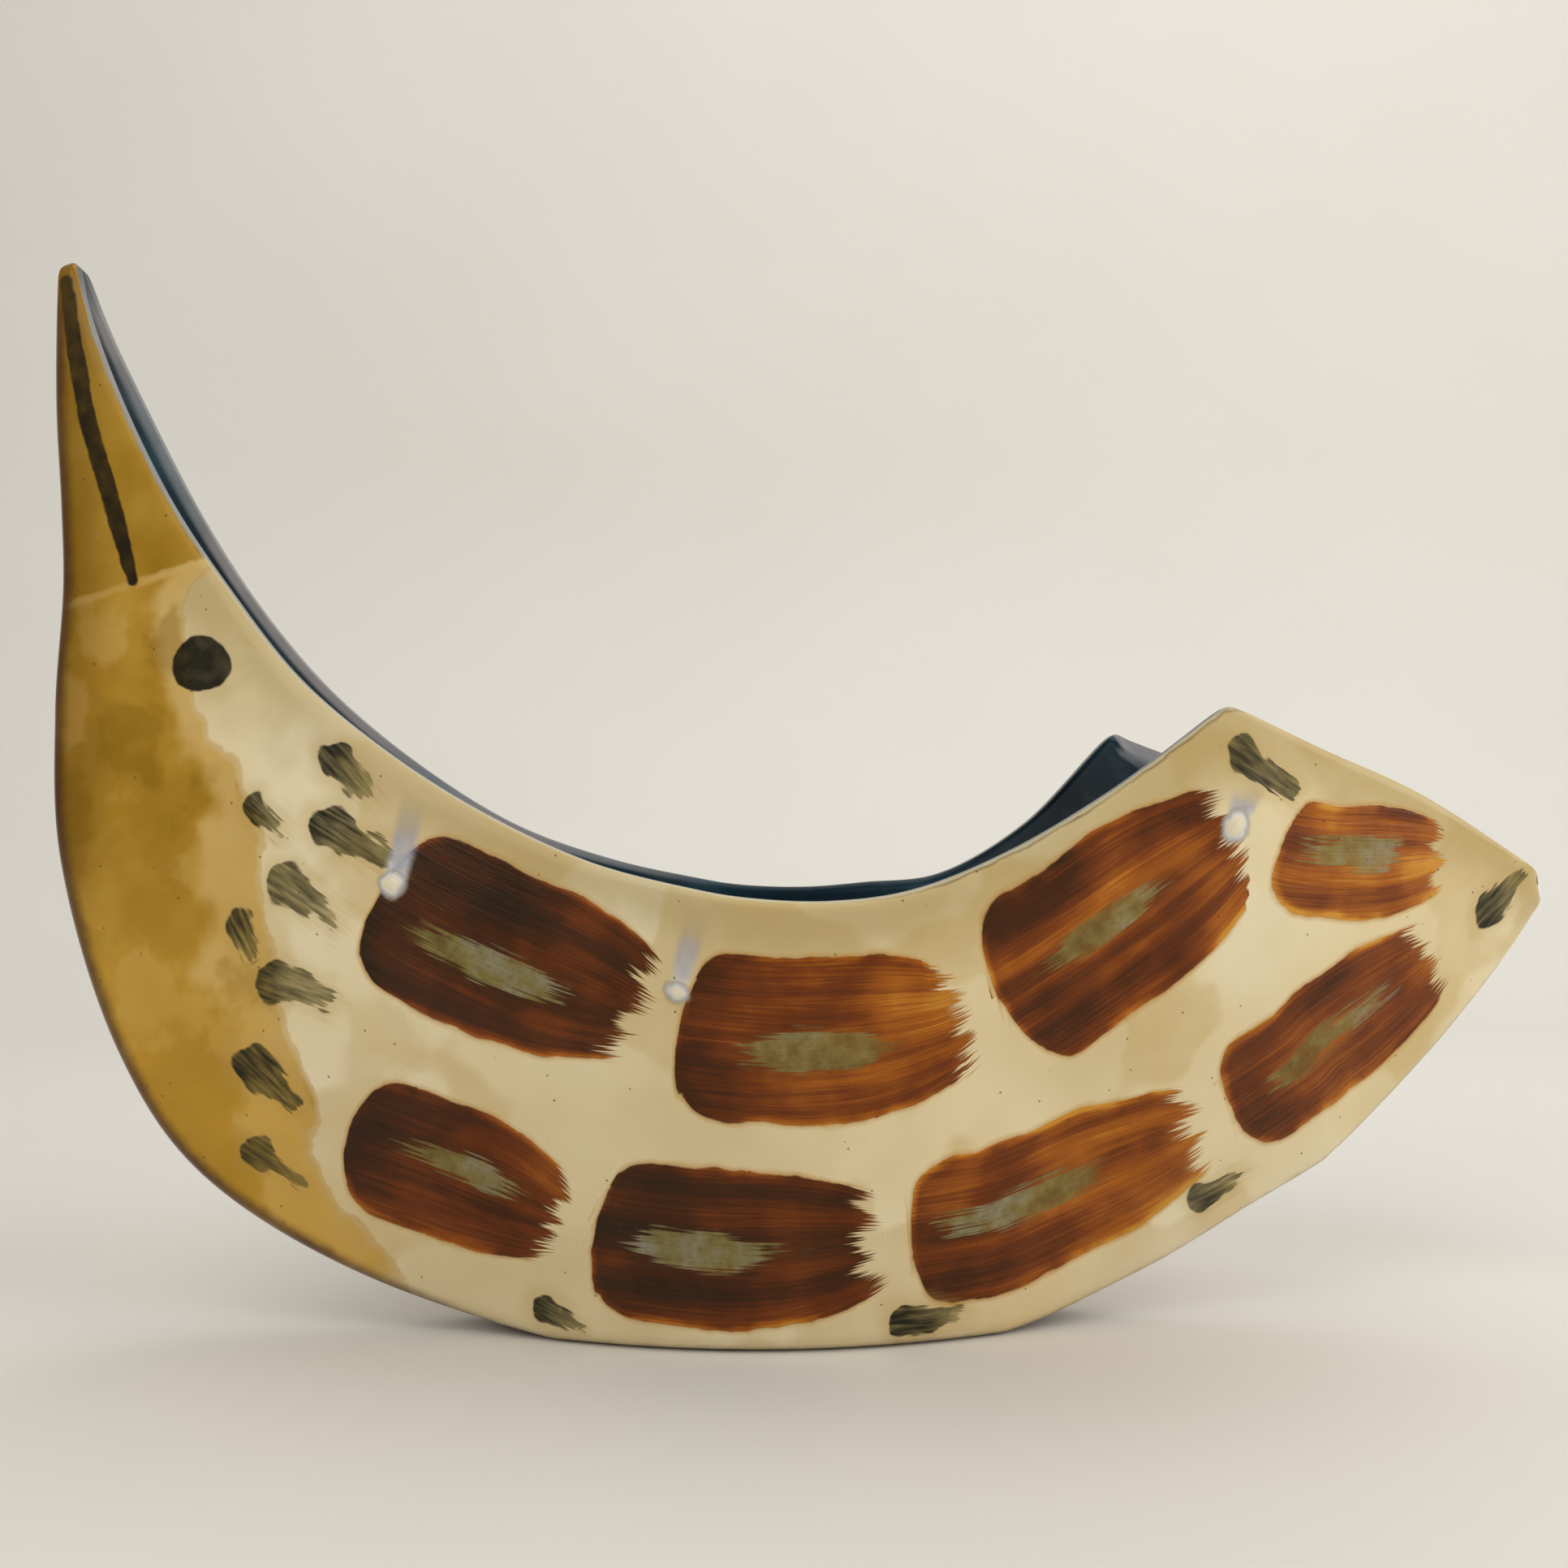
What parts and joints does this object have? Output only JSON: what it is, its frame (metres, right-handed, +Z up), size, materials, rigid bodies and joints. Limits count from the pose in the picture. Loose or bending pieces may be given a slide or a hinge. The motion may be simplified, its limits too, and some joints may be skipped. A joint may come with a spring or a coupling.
{
  "type": "ceramic bird bowl",
  "caption": "Slab-built stoneware bowl shaped like a bird, open along the back from beak tip to tail tip, on a flat lens-shaped foot, with a painted glaze outside and a dark liner glaze inside.",
  "frame": {"origin": "centre of the bounding box's footprint, on the plane the foot rests on", "axes": "+X toward the tail and -X toward the beak and breast, +Y toward the bird's right wall, +Z up"},
  "size_m": [0.3973, 0.1144, 0.2795],
  "materials": {
    "clay_body": "fired stoneware, bare",
    "glazed_coil": "smoothed clay under dark gloss glaze",
    "outer_glaze": "cream gloss glaze with iron-brown brushwork",
    "liner_glaze": "blue-black gloss glaze"
  },
  "bodies": {
    "root": {"left_wall": "clay_body", "right_wall": "clay_body", "base_slab": "clay_body", "breast_seam_coil": "glazed_coil", "tail_seam_coil": "glazed_coil", "left_foot_coil": "glazed_coil", "right_foot_coil": "glazed_coil", "left_outer_glaze": "outer_glaze", "right_outer_glaze": "outer_glaze", "left_liner_glaze": "liner_glaze", "right_liner_glaze": "liner_glaze", "floor_glaze": "liner_glaze"}
  },
  "joints": []
}
